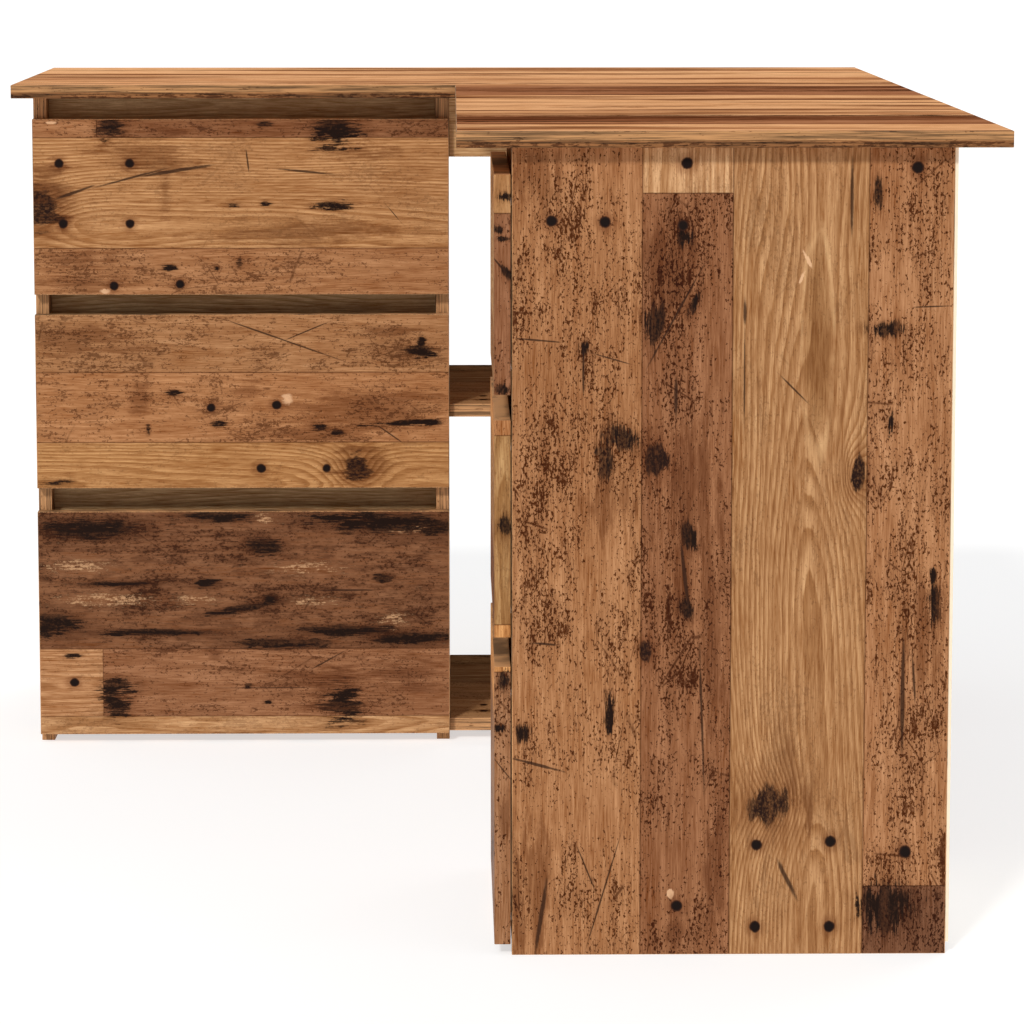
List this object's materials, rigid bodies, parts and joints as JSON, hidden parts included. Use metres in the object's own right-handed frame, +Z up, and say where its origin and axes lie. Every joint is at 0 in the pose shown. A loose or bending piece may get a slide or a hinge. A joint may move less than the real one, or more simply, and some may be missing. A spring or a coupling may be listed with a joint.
{
  "type": "corner desk",
  "caption": "L-shaped desk on a pedestal of drawers and a base unit that has drawers beside an open shelf bay; the drawers have no handles and slide on roller runners.",
  "frame": {"origin": "on the floor, under the middle of the worktop's outline", "axes": "+Z up, +Y along the long arm towards the corner and the base unit, +X from the short arm's end towards the long arm's outer edge; the base unit's drawers open to -Y and the pedestal's to -X"},
  "size_m": [1, 1.45, 0.76],
  "materials": {
    "worktop": "engineered board with a printed decor of worn orange-brown planks, low sheen",
    "panel": "engineered board with a printed decor of old mixed planks set upright, with nail holes and knots",
    "front": "engineered board with a printed decor of old mixed planks laid across, with nail holes and worn rows",
    "inside": "engineered board with the same old-plank decor, seen in shade",
    "drawer_box": "12 mm board with a plain pale wood-grain foil",
    "hardboard": "3 mm hardboard, pale lacquer on the smooth face",
    "steel": "powder-coated pressed steel, satin"
  },
  "bodies": {
    "desk_carcass": {"desktop": "worktop", "base_left_upright": "panel", "base_middle_upright": "panel", "base_right_upright": "panel", "pedestal_left_upright": "panel", "pedestal_right_upright": "panel", "base_chest_bottom": "inside", "pedestal_chest_bottom": "inside", "base_bottom_rail": "inside", "base_middle_rail": "inside", "base_top_rail": "inside", "pedestal_bottom_rail": "inside", "pedestal_middle_rail": "inside", "shelf_bay_bottom": "inside", "shelf_bay_middle_shelf": "inside", "shelf_bay_rail": "inside", "base_chest_back": "hardboard", "pedestal_chest_back": "hardboard", "base_bottom_left_runner": "steel", "base_bottom_right_runner": "steel", "base_middle_left_runner": "steel", "base_middle_right_runner": "steel", "base_top_left_runner": "steel", "base_top_right_runner": "steel", "pedestal_bottom_left_runner": "steel", "pedestal_bottom_right_runner": "steel", "pedestal_middle_left_runner": "steel", "pedestal_middle_right_runner": "steel", "pedestal_top_left_runner": "steel", "pedestal_top_right_runner": "steel"},
    "base_bottom_drawer": {"base_bottom_drawer_front": "front", "base_bottom_drawer_left_side": "drawer_box", "base_bottom_drawer_right_side": "drawer_box", "base_bottom_drawer_back": "drawer_box", "base_bottom_drawer_bottom": "hardboard"},
    "base_middle_drawer": {"base_middle_drawer_front": "front", "base_middle_drawer_left_side": "drawer_box", "base_middle_drawer_right_side": "drawer_box", "base_middle_drawer_back": "drawer_box", "base_middle_drawer_bottom": "hardboard"},
    "base_top_drawer": {"base_top_drawer_front": "front", "base_top_drawer_left_side": "drawer_box", "base_top_drawer_right_side": "drawer_box", "base_top_drawer_back": "drawer_box", "base_top_drawer_bottom": "hardboard"},
    "pedestal_bottom_drawer": {"pedestal_bottom_drawer_front": "front", "pedestal_bottom_drawer_left_side": "drawer_box", "pedestal_bottom_drawer_right_side": "drawer_box", "pedestal_bottom_drawer_back": "drawer_box", "pedestal_bottom_drawer_bottom": "hardboard"},
    "pedestal_middle_drawer": {"pedestal_middle_drawer_front": "front", "pedestal_middle_drawer_left_side": "drawer_box", "pedestal_middle_drawer_right_side": "drawer_box", "pedestal_middle_drawer_back": "drawer_box", "pedestal_middle_drawer_bottom": "hardboard"},
    "pedestal_top_drawer": {"pedestal_top_drawer_front": "front", "pedestal_top_drawer_left_side": "drawer_box", "pedestal_top_drawer_right_side": "drawer_box", "pedestal_top_drawer_back": "drawer_box", "pedestal_top_drawer_bottom": "hardboard"}
  },
  "joints": [
    {"name": "base_bottom_drawer_slide", "type": "slide", "parent": "desk_carcass", "child": "base_bottom_drawer", "axis": [0, -1, 0], "range_m": [0, 0.26]},
    {"name": "base_middle_drawer_slide", "type": "slide", "parent": "desk_carcass", "child": "base_middle_drawer", "axis": [0, -1, 0], "range_m": [0, 0.26]},
    {"name": "base_top_drawer_slide", "type": "slide", "parent": "desk_carcass", "child": "base_top_drawer", "axis": [0, -1, 0], "range_m": [0, 0.26]},
    {"name": "pedestal_bottom_drawer_slide", "type": "slide", "parent": "desk_carcass", "child": "pedestal_bottom_drawer", "axis": [-1, 0, 0], "range_m": [0, 0.26]},
    {"name": "pedestal_middle_drawer_slide", "type": "slide", "parent": "desk_carcass", "child": "pedestal_middle_drawer", "axis": [-1, 0, 0], "range_m": [0, 0.26]},
    {"name": "pedestal_top_drawer_slide", "type": "slide", "parent": "desk_carcass", "child": "pedestal_top_drawer", "axis": [-1, 0, 0], "range_m": [0, 0.26]}
  ]
}
